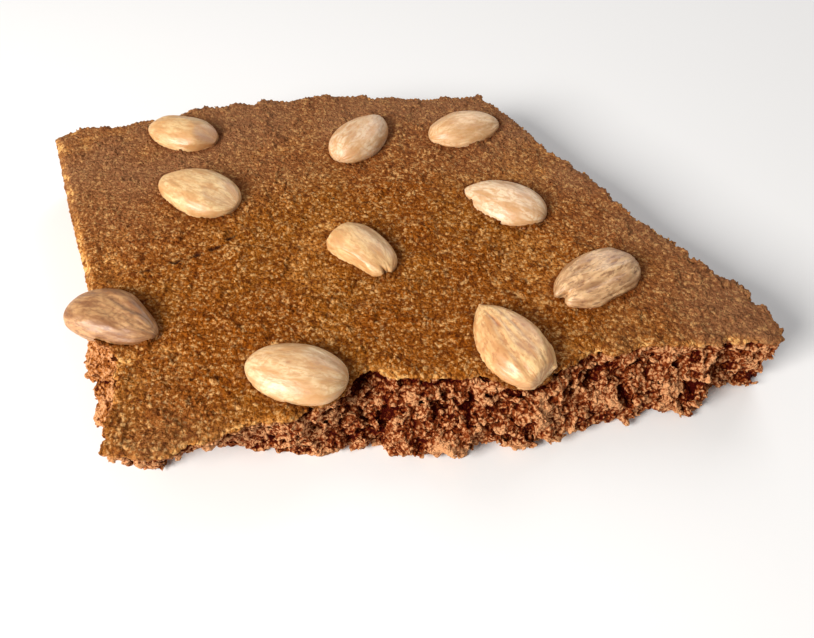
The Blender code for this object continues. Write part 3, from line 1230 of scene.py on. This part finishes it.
    def _thin(self, piece: bpy.types.Object, most: int) -> None:
        """Thin a piece's flat parts, and leave its border as it is.

        Args:
            piece: The piece.
            most: How many triangles it may keep.
        """
        mesh = piece.data
        triangles = 2 * len(mesh.polygons)
        if triangles <= most:
            return
        shape = bmesh.new()
        shape.from_mesh(mesh)
        inner = [vertex.index for vertex in shape.verts if not vertex.is_boundary]
        shape.free()
        group = piece.vertex_groups.new(name="inner")
        group.add(inner, 1.0, "REPLACE")
        thin = piece.modifiers.new("thin", "DECIMATE")
        thin.ratio = most / triangles
        thin.vertex_group = group.name
        depsgraph = bpy.context.evaluated_depsgraph_get()
        evaluated = piece.evaluated_get(depsgraph)
        piece.data = bpy.data.meshes.new_from_object(
            evaluated, preserve_all_data_layers=True, depsgraph=depsgraph
        )
        piece.modifiers.clear()
        piece.vertex_groups.clear()

    def _near_side(self, points: np.ndarray) -> np.ndarray:
        """Read the side depth at points.

        Args:
            points: Points in millimetres.

        Returns:
            Each point's side depth in millimetres, read just below the crust where it is on the crust.
        """
        cells = np.round(points / self.volume.voxel).astype(np.int32) - self.volume.low
        highest = int((self.crust_level - self.under_crust) / self.volume.voxel) - self.volume.low[2]
        cells[:, 2] = np.minimum(cells[:, 2], highest)
        cells = np.clip(cells, 0, np.array(self.depth.shape) - 1)
        return self.depth[tuple(cells.T)] * self.volume.voxel

    def _lip(
        self, points: np.ndarray, near_side: np.ndarray, crumb: np.ndarray, baked: np.ndarray
    ) -> np.ndarray:
        """Find the crust's paler lip, the baked rim, paler partly as a painted highlight, and the painted
        light on the left side's crumb.

        Args:
            points: Points in millimetres.
            near_side: Their side depth.
            crumb: Their crumb share.
            baked: How much of each is baked side.

        Returns:
            How much of the lip's colour there is at each, from 0 to 1.
        """
        edge = fade((self.lip_reach - near_side) / self.lip_reach)
        under = fade((self.crust_level - 0.1 - points[:, 2]) / self.lip_drop) * (1.0 - crumb)
        patchy = np.clip(0.6 + self.rag.waves(points), 0.0, 1.0)
        lip = self.lip_share * np.maximum(edge, under) * (1.0 - crumb) * patchy
        # the baked rim, paler partly as a painted highlight along its rounded edge
        rim = baked * fade((self.crust_level + 0.1 - points[:, 2]) / self.rim_drop)
        lip = np.maximum(lip, self.rim_colour_and_highlight * rim)
        # painted light on the left side's crumb, in the lip colour
        return np.maximum(lip, self.left_side_light_share * self._left_side(points) * crumb)

    def _painted_sheen(self, points: np.ndarray) -> np.ndarray:
        """Find where a greyer sheen is painted on the crust, standing in for light reflected at grazing
        angles.

        Args:
            points: Points in millimetres.

        Returns:
            How much, from 0 to 1: most towards the slab's ends, and little at its front left corner.
        """
        x, y = self.sheen_middle
        far = self.sheen_reach.at(np.hypot(0.8 * (points[:, 0] - x), points[:, 1] - y))
        painted_sheen = np.clip(far * (0.9 + 0.5 * self.crust.dents.waves(points)), 0.0, 1.0)
        golden = self.golden_forward.at(points[:, 1]) * self.golden_across.at(points[:, 0])
        return painted_sheen * (1.0 - self.golden_share * golden)

    def _piece(
        self,
        region: Region,
        points: np.ndarray,
        quads: np.ndarray,
        layers: dict,
        material: bpy.types.Material,
    ) -> bpy.types.Object:
        """Make one piece of the skin.

        Args:
            region: Which piece it is.
            points: All of the skin's points, in millimetres.
            quads: The piece's faces.
            layers: What the material reads at each of the skin's points.
            material: The slab's material.

        Returns:
            The piece, which replaces the slab's node together with the others.
        """
        used, faces = np.unique(quads, return_inverse=True)
        mesh = bpy.data.meshes.new(region.value)
        mesh.from_pydata(points[used] * MM, [], faces.reshape(-1, 4))
        add_layers(mesh, {key: values[used] for key, values in layers.items()})
        mesh.shade_smooth()
        mesh.materials.append(material)
        piece = add_piece(region.value, mesh, self.node)
        self._thin(piece, self.underside_triangles if region is Region.UNDERSIDE else self.most_triangles)
        log.info("%s: %d faces", region.value, len(piece.data.polygons))
        return piece

    def build(self) -> list[bpy.types.Object]:
        """Grow the skin and cut it into its pieces.

        Returns:
            The crust, the underside and the four broken sides.
        """
        voxel = self.voxel
        self.volume = Volume(self.node, voxel, self.reach)
        filled = self.volume.distance.copy()
        for name in self.almonds:
            self.volume.fill(filled, Volume(name, voxel, self.almond_reach), self.socket_gap)
        self.heights = self._crust_heights(filled)
        self.depth = self._side_depth(filled)
        contact_shade = self._contact_shade(filled)
        self._close_sockets(filled)
        packed = self.volume.distance.copy()
        self._crumble()
        points, quads = self.volume.surface()
        quads = self._outward(points, self._largest_part(len(points), quads))
        self.volume.distance = packed
        relief = self.volume.read(points)
        crumb, baked = self._shares(points)
        points = points.astype(np.float64)
        on_crust = points[:, 2] > self.crust_level - self.level_slack
        pit = self.crust.pits(points * FLAT) * (1.0 - crumb) * on_crust
        smooth = (1.0 - crumb) * fade(points[:, 2] - self.foot_height)
        rise = smooth * (self.crust.rise(points) - self.pit_depth * pit)
        points += self._normals(points, quads) * rise[:, None]
        points = held_inside(points, self.box_easing)
        points[:, 2] = np.maximum(points[:, 2], 0.0)
        layers = {
            "crumb": crumb,
            "relief": relief,
            "pit": pit,
            "lip": self._lip(points, self._near_side(points), crumb, baked),
            "bent": self.bend.drift(points.astype(np.float32), self.bend_reach) * MM,
            # painted sheen towards the slab's ends
            "painted_sheen": self._painted_sheen(points),
            # painted contact shadow round the almonds
            "contact_shade": contact_shade[self._columns(points)],
        }
        material = self.finish.make()
        regions = self._regions(points, quads, crumb)
        return [
            self._piece(region, points, quads[faces], layers, material) for region, faces in regions.items()
        ]


# ---- Almonds ----


@dataclass(frozen=True)
class Cut:
    """A facet pared off an almond, at a reach on the unit sphere and with a soft edge."""

    towards: tuple
    reach: float
    softness: float = 0.05

    def pare(self, spots: np.ndarray) -> np.ndarray:
        """Bring spots that stand out beyond the facet back to it.

        Args:
            spots: Spots of the unit sphere.

        Returns:
            The spots, with the facet cut.
        """
        facing = unit(self.towards)
        over = np.maximum(spots @ facing - self.reach, 0.0)
        return spots - (over * over / (over + self.softness))[:, None] * facing


@dataclass(frozen=True)
class Knob:
    """A knob on the unit sphere, or a dent where its height in millimetres is negative, with a darker mark
    that is a real stain on some almonds and painted shade on others.
    """

    towards: tuple
    height: float
    width: tuple
    stain_and_shade: float = 0.0

    def share(self, spots: np.ndarray) -> np.ndarray:
        """How much of the knob there is at spots of the unit sphere."""
        return np.exp(-(((spots - unit(self.towards)) / np.array(self.width)) ** 2).sum(axis=1))


@dataclass
class Almond:
    """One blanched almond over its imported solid, with sizes in millimetres.

    Its point faces yaw_deg and is drawn in there by point, its body narrows by taper and its
    middle is bowed sideways. Ridges run from end to end, lumps are its broad unevenness, stretch is
    how much larger than its solid it is, and flow how fast its grain changes along it.
    """

    node: str
    yaw_deg: float
    taper: float
    point: float
    bow: float
    finish: AlmondFinish
    seed: int
    ridges: float = 0.2
    lumps: float = 0.5
    cuts: tuple = ()
    knobs: tuple = ()
    stretch: tuple = (1.0, 1.0, 1.0)
    sides: int = 160
    rings: int = 120
    flow: float = 0.4
    box_easing: float = 0.5

    def _measure(self) -> tuple[Vector, np.ndarray]:
        """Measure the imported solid.

        Returns:
            Its middle and its half sizes along, across and up, in millimetres.
        """
        turn = Matrix.Rotation(-math.radians(self.yaw_deg), 3, "Z")
        spots = [turn @ (vertex.co / MM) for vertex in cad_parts[self.node].data.vertices]
        tip, tail = max(spots, key=lambda s: s.x), min(spots, key=lambda s: s.x)
        middle = (tip + tail) / 2.0
        half_length = (tip.x - tail.x) / 2.0
        waist = [s for s in spots if abs(s.x - middle.x) < 0.02 * half_length]
        half_width = (max(s.y for s in waist) - min(s.y for s in waist)) / 2.0
        half_height = (max(s.z for s in waist) - min(s.z for s in waist)) / 2.0
        return turn.inverted() @ middle, np.array((half_length, half_width, half_height))

    def _rings(self, spots: np.ndarray) -> np.ndarray:
        """Where spots lie round the almond's length, the same from one end to the other."""
        return unit(spots * np.array([0.0, 1.0, 1.0]))

    def _waves(self, size: float, offset: int, spots: np.ndarray) -> np.ndarray:
        """The almond's own noise over the unit sphere, one of several by its seed's offset."""
        return Lattice(size, self.seed + offset).waves(spots)

    def _relief(self, spots: np.ndarray) -> np.ndarray:
        """Work out the almond's unevenness.

        Args:
            spots: Spots of the unit sphere.

        Returns:
            How far the surface stands out at each, in millimetres.
        """
        along = spots * ALONG
        lines = self._rings(spots) + 0.25 * self._waves(0.7, 80, spots)[:, None]
        ridges = 0.6 * self._waves(0.42, 0, 0.3 * along + lines)
        ridges += 0.4 * self._waves(0.17, 20, 0.16 * along + lines)
        ridges += 0.25 * self._waves(0.25, 40, spots)
        return self.ridges * ridges * (1.0 - spots[:, 0] ** 4) + self.lumps * self._waves(0.75, 60, spots)

    def _places(self, sphere: np.ndarray, half: np.ndarray) -> np.ndarray:
        """Shape the almond.

        Args:
            sphere: Spots of the unit sphere.
            half: The almond's half sizes.

        Returns:
            Where the spots go, in the almond's own frame.
        """
        spots = reduce(lambda pared, cut: cut.pare(pared), self.cuts, sphere)
        x = spots[:, 0]
        narrow = (1.0 - self.taper * x) * (1.0 - self.point * np.maximum(x, 0.0) ** 4)
        places = spots * half * np.array(self.stretch)
        places[:, 1:] *= narrow[:, None]
        places[:, 1] += self.bow * (1.0 - x**2)
        height = self._relief(sphere)
        for knob in self.knobs:
            height += knob.height * knob.share(sphere)
        return places + unit(sphere / half) * height[:, None]

    def _layers(self, sphere: np.ndarray, places: np.ndarray, half: np.ndarray) -> dict[str, np.ndarray]:
        """Work out what the almond's material reads.

        Args:
            sphere: Spots of the unit sphere.
            places: Where they went, in the almond's own frame.
            half: The almond's half sizes.

        Returns:
            Its grain, its own place and its stains and painted shade, at each point.
        """
        grain = self._rings(sphere) * half + self.flow * half * sphere * ALONG
        own_place = places * (0.5, 1.0, 1.0) + 30.0 * self.seed
        stains_and_shade = sum((knob.stain_and_shade * knob.share(sphere) for knob in self.knobs), np.zeros(len(sphere)))
        return {"along": grain * MM, "lie": own_place * MM, "stain_and_shade": stains_and_shade}

    def build(self) -> bpy.types.Object:
        """Make the almond and let it stand for its node.

        Returns:
            The almond.
        """
        middle, half = self._measure()
        shape = bmesh.new()
        bmesh.ops.create_uvsphere(shape, u_segments=self.sides, v_segments=self.rings, radius=1.0)
        bmesh.ops.rotate(shape, verts=shape.verts, matrix=Matrix.Rotation(math.pi / 2.0, 3, "Y"))
        sphere = np.array([vertex.co for vertex in shape.verts])
        places = self._places(sphere, half)
        for vertex, place in zip(shape.verts, places):
            vertex.co = place
        bmesh.ops.recalc_face_normals(shape, faces=shape.faces)
        turn = Matrix.Rotation(math.radians(self.yaw_deg), 4, "Z")
        shape.transform(Matrix.Translation(middle) @ turn)
        held = held_inside(np.array([vertex.co for vertex in shape.verts]), self.box_easing)
        for vertex, place in zip(shape.verts, held * MM):
            vertex.co = place
        mesh = bpy.data.meshes.new(self.node + "_nut")
        shape.to_mesh(mesh)
        shape.free()
        add_layers(mesh, self._layers(sphere, places, half))
        mesh.shade_smooth()
        mesh.materials.append(self.finish.make())
        return add_piece(self.node + "_nut", mesh, self.node)


ALMONDS = (
    Almond(
        "almond_back_left", yaw_deg=163.0, taper=0.12, point=0.25, bow=0.0, seed=101,
        finish=AlmondFinish("almond_a", tone(230, 192, 136)),
        cuts=(
            Cut((-0.84, 0.1, 0.54), 0.86, 0.04),
            Cut((-0.77, 0.63, 0.0), 0.86, 0.1),
            Cut((-0.7, -0.7, 0.0), 0.9, 0.1),
        ),
        # painted shade on the facet that faces away from the key light
        knobs=(Knob((-0.9, 0.1, 0.4), 0.0, (0.36, 0.8, 0.7), 0.5),),
        stretch=(1.03, 1.0, 1.0),
    ),
    Almond(
        "almond_upper_left", yaw_deg=150.0, taper=0.14, point=0.3, bow=0.3, seed=102,
        finish=AlmondFinish("almond_b", tone(240, 204, 148)),
        cuts=(Cut((0.45, 0.85, 0.1), 0.88), Cut((-0.75, 0.0, 0.66), 0.84)),
        stretch=(1.0, 1.03, 1.0),
    ),
    Almond(
        "almond_middle", yaw_deg=136.0, taper=-0.18, point=0.02, bow=-0.5, seed=103,
        finish=AlmondFinish("almond_c", tone(234, 192, 134)),
        cuts=(Cut((1.0, 0.0, 0.1), 0.78, 0.025), Cut((-0.1, 1.0, 0.05), 0.72, 0.03)),
        knobs=(
            Knob((-0.97, 0.22, 0.05), -1.8, (0.14, 0.09, 0.6), 0.25),
            Knob((-0.96, 0.05, 0.1), -0.9, (0.1, 0.07, 0.5), 0.2),
            Knob((-0.8, -0.5, 0.3), 0.35, (0.25, 0.25, 0.5)),
        ),
        stretch=(1.0, 1.04, 1.0),
    ),
    Almond(
        "almond_left_edge", yaw_deg=-21.0, taper=0.2, point=0.25, bow=0.8, seed=104, ridges=0.32,
        finish=AlmondFinish(
            "almond_d", tone(198, 148, 96), tone(140, 88, 46), tone(104, 58, 28), 0.5, 0.5, 0.8
        ),
        cuts=(Cut((0.6, 0.75, 0.25), 0.84),),
        knobs=(
            Knob((0.35, 0.3, 0.9), -0.35, (0.45, 0.1, 0.6), 0.3),
            Knob((0.1, -0.05, 1.0), -0.2, (0.5, 0.09, 0.6), 0.2),
        ),
    ),
    Almond(
        "almond_front_left", yaw_deg=168.0, taper=0.08, point=0.02, bow=0.3, seed=105, ridges=0.16,
        finish=AlmondFinish("almond_e", tone(237, 204, 156)),
        knobs=(Knob((0.1, 0.0, 1.0), -0.12, (0.06, 0.05, 1.0), 0.6),),
        stretch=(0.98, 0.95, 1.0),
    ),
    Almond(
        "almond_front_right", yaw_deg=119.0, taper=0.26, point=0.3, bow=0.0, seed=106, ridges=0.5,
        finish=AlmondFinish("almond_f", tone(240, 198, 138), tone(196, 136, 78), veining=0.6),
        cuts=(Cut((-0.97, -0.2, 0.1), 0.86, 0.08), Cut((0.1, 0.9, 0.3), 0.9)),
        knobs=(
            Knob((1.0, -0.02, 0.12), 0.5, (0.3, 0.12, 0.12), 0.3),
            Knob((-0.84, -0.52, 0.1), 0.7, (0.1, 0.09, 0.12), 0.15),
            Knob((0.52, 0.14, 0.85), -0.4, (0.2, 0.045, 0.5), 0.7),
            Knob((0.3, 0.16, 0.94), -0.3, (0.1, 0.08, 0.5), 0.7),
            Knob((-0.1, -0.28, 0.95), -0.3, (0.55, 0.06, 0.5), 0.4),
            Knob((0.05, -0.02, 1.0), -0.25, (0.45, 0.05, 0.5), 0.4),
            Knob((-0.1, -0.16, 0.98), 0.2, (0.5, 0.06, 0.5)),
        ),
    ),
    Almond(
        "almond_right", yaw_deg=210.0, taper=0.1, point=0.04, bow=0.5, seed=107, ridges=0.55,
        finish=AlmondFinish("almond_g", tone(232, 188, 136), tone(170, 120, 74), tone(122, 74, 44), 0.7),
        cuts=(Cut((-0.1, 1.0, 0.1), 0.86), Cut((-0.9, -0.3, 0.1), 0.88)),
        knobs=(
            # the darker marks in the notch and the folds are painted shade
            Knob((0.97, 0.2, 0.0), -2.8, (0.2, 0.1, 0.8), 0.2),
            Knob((0.85, 0.5, 0.0), 0.5, (0.2, 0.16, 0.4)),
            Knob((0.98, -0.06, 0.0), 0.5, (0.2, 0.14, 0.4)),
            Knob((0.6, 0.12, 0.78), -0.6, (0.4, 0.09, 0.5), 0.5),
            Knob((0.5, -0.3, 0.8), -0.45, (0.4, 0.09, 0.5), 0.45),
            Knob((0.3, 0.45, 0.8), -0.4, (0.4, 0.08, 0.5), 0.4),
        ),
    ),
    Almond(
        "almond_back_middle", yaw_deg=60.0, taper=0.15, point=0.22, bow=0.0, seed=108,
        finish=AlmondFinish("almond_h", tone(240, 210, 172)),
    ),
    Almond(
        "almond_upper_right", yaw_deg=152.0, taper=0.14, point=0.2, bow=-0.4, seed=109,
        finish=AlmondFinish("almond_i", tone(240, 210, 172)),
    ),
    Almond(
        "almond_back_right", yaw_deg=20.0, taper=0.16, point=0.22, bow=0.3, seed=110,
        finish=AlmondFinish("almond_j", tone(234, 194, 146)),
        cuts=(Cut((-0.5, 0.5, 0.6), 0.84),),
    ),
)


# ---- The studio ----


@dataclass(frozen=True)
class Softbox:
    """A square area light, with its place and width in metres and its power in watts."""

    name: str
    place: tuple
    size: float
    power: float
    colour: tuple


@dataclass
class Studio:
    """Pale floor, soft lights and the camera, in metres."""

    camera_place: tuple = (0.00817, -0.12881, 0.146)
    camera_pitch_deg: float = 38.5
    camera_lens: float = 30.96
    floor_radius: float = 1.5
    floor_tone: Tone = tone(244, 244, 244)
    sky_tone: Tone = (1.0, 1.0, 1.0, 1.0)
    sky_strength: float = 0.26
    target: tuple = (0.0, 0.0, 0.015)
    lights: tuple = (
        Softbox("key", (-0.47, -0.42, 0.4), 0.3, 8.0, (1.0, 0.97, 0.93)),
        Softbox("back", (0.35, 0.75, 0.62), 0.6, 3.4, (1.0, 0.98, 0.98)),
    )

    def _add_light(self, box: Softbox) -> None:
        """Add one softbox, turned towards the slab.

        Args:
            box: The softbox.
        """
        lamp = bpy.data.lights.new(box.name, "AREA")
        lamp.size = box.size
        lamp.energy = box.power
        lamp.color = box.colour
        thing = bpy.data.objects.new(box.name, lamp)
        thing.location = box.place
        thing.rotation_euler = (Vector(self.target) - thing.location).to_track_quat("-Z", "Y").to_euler()
        bpy.context.scene.collection.objects.link(thing)

    def _add_floor(self) -> None:
        """Add the floor, a pale disc."""
        shape = bmesh.new()
        bmesh.ops.create_circle(shape, cap_ends=True, segments=96, radius=self.floor_radius)
        mesh = bpy.data.meshes.new("floor")
        shape.to_mesh(mesh)
        shape.free()
        recipe = Recipe("floor_paint")
        mesh.materials.append(recipe.finish(Base_Color=self.floor_tone, Roughness=0.9))
        floor = bpy.data.objects.new("floor", mesh)
        bpy.context.scene.collection.objects.link(floor)

    def _add_sky(self) -> None:
        """Add the even light all round."""
        world = bpy.data.worlds.new("sky")
        world.use_nodes = True
        background = world.node_tree.nodes["Background"]
        background.inputs["Color"].default_value = self.sky_tone
        background.inputs["Strength"].default_value = self.sky_strength
        bpy.context.scene.world = world

    def _add_camera(self) -> None:
        """Add the camera."""
        camera = bpy.data.objects.new("camera", bpy.data.cameras.new("camera"))
        camera.data.lens = self.camera_lens
        camera.data.clip_start = 0.01
        camera.location = self.camera_place
        camera.rotation_euler = (math.radians(self.camera_pitch_deg), 0.0, 0.0)
        bpy.context.scene.collection.objects.link(camera)
        bpy.context.scene.camera = camera

    def build(self) -> None:
        """Add the camera, the lights, the sky and the floor."""
        bpy.context.scene.view_settings.view_transform = "Standard"
        self._add_camera()
        for box in self.lights:
            self._add_light(box)
        self._add_sky()
        self._add_floor()


def main() -> None:
    """Build every piece in order."""
    logging.basicConfig(level=logging.INFO, format="%(name)s: %(message)s")
    Studio().build()
    log.info("studio ready")
    for almond in ALMONDS:
        piece = almond.build()
        log.info("%s: %d faces", piece.name, len(piece.data.polygons))
    Slab(tuple(almond.node for almond in ALMONDS)).build()


if __name__ == "__main__":
    main()
